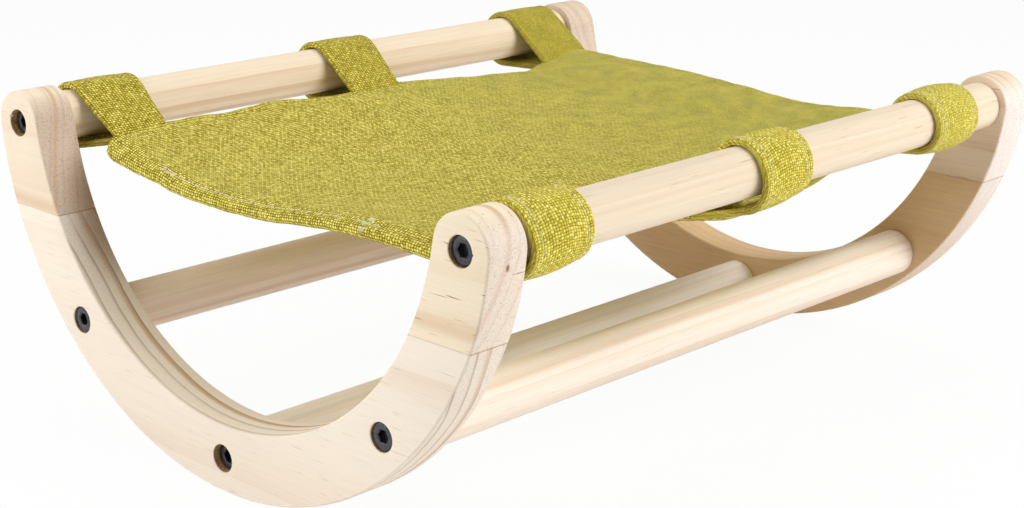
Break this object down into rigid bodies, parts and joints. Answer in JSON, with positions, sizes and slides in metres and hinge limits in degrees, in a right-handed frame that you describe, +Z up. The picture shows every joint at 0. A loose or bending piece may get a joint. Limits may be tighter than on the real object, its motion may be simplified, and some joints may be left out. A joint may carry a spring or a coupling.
{
  "type": "pet hammock",
  "caption": "Small free-standing pet hammock: half-ring pine side panels joined by round rails, with a green cloth sling that hangs from the top rails on sewn loops.",
  "frame": {"origin": "on the floor, in the middle under the half rings' lowest points", "axes": "+X along the rails from the near panel to the far one, +Y towards the left rails, +Z up"},
  "size_m": [0.3664, 0.305, 0.1469],
  "materials": {
    "pine_board": "sanded bare pine board, fine straight grain, brown end grain on the edges",
    "pine_rail": "sanded bare pine dowel, grain along its length",
    "black_screw": "black-coated steel, satin",
    "sheet_cloth": "coarse plain weave, matt, light top-stitching",
    "loop_cloth": "coarse plain weave folded into a double strap, matt, light top-stitching"
  },
  "bodies": {
    "frame": {"near_lower_board": "pine_board", "near_left_arm": "pine_board", "near_right_arm": "pine_board", "far_lower_board": "pine_board", "far_left_arm": "pine_board", "far_right_arm": "pine_board", "rail_top_left": "pine_rail", "rail_top_right": "pine_rail", "rail_side_left": "pine_rail", "rail_side_right": "pine_rail", "rail_bottom": "pine_rail", "screw_near_top_left": "black_screw", "screw_near_top_right": "black_screw", "screw_near_side_left": "black_screw", "screw_near_side_right": "black_screw", "screw_near_bottom": "black_screw", "screw_far_top_left": "black_screw", "screw_far_top_right": "black_screw", "screw_far_side_left": "black_screw", "screw_far_side_right": "black_screw", "screw_far_bottom": "black_screw"},
    "sling": {"sling_sheet": "sheet_cloth", "loop_left_near": "loop_cloth", "loop_left_middle": "loop_cloth", "loop_left_far": "loop_cloth", "loop_right_near": "loop_cloth", "loop_right_middle": "loop_cloth", "loop_right_far": "loop_cloth"}
  },
  "joints": [
    {"name": "sling_slide", "type": "slide", "parent": "frame", "child": "sling", "axis": [1, 0, 0], "range_m": [-0.0012, 0.0027]}
  ]
}
